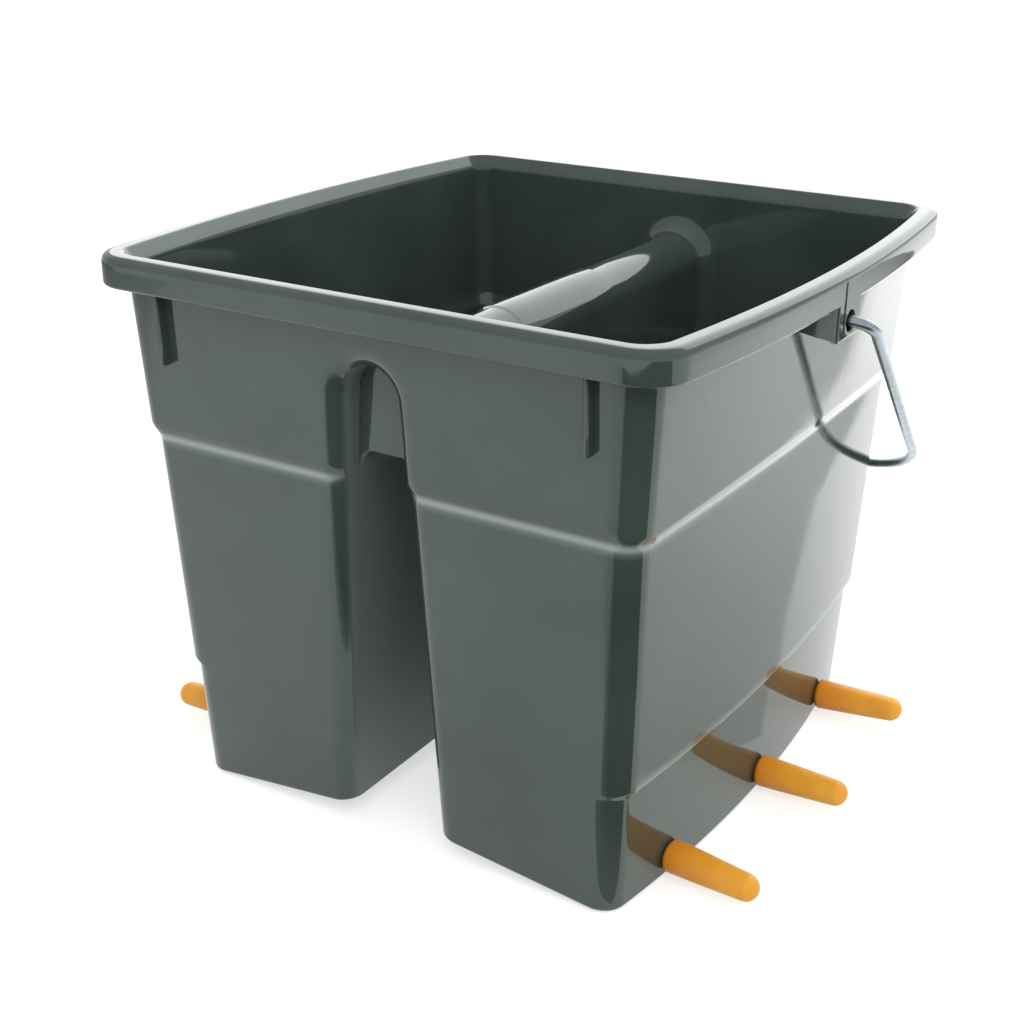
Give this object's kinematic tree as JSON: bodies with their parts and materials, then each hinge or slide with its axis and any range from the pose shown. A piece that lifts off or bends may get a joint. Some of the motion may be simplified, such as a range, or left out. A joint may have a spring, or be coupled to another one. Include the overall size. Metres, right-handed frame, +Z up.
{
  "type": "multi teat lamb feeder",
  "caption": "Straddle tub with two milk compartments, a rail slot between them, latex teats along the foot of both side walls and a swinging wire bail, for feeding lambs over a hurdle.",
  "frame": {"origin": "on the ground under the middle of the tub", "axes": "+X to the right across the slot, towards the right row of teats; +Y along the slot, from the front face to the back face that the bail rests on; +Z up"},
  "size_m": [0.3514, 0.3186, 0.27],
  "materials": {
    "tub_plastic": "dark green-grey polypropylene, smooth moulded gloss",
    "bail_wire": "bright zinc-plated drawn steel wire",
    "teat_latex": "soft amber latex, slightly translucent"
  },
  "bodies": {
    "tub": {"feeder_body": "tub_plastic", "teat_right_front": "teat_latex", "teat_right_middle": "teat_latex", "teat_right_rear": "teat_latex", "teat_left_front": "teat_latex", "teat_left_middle": "teat_latex", "teat_left_rear": "teat_latex"},
    "bail": {"bail": "bail_wire"}
  },
  "joints": [
    {"name": "bail_swing", "type": "hinge", "parent": "tub", "child": "bail", "pos_m": [0, 0, 0.2475], "axis": [1, 0, 0], "range_deg": [0, 259]}
  ]
}
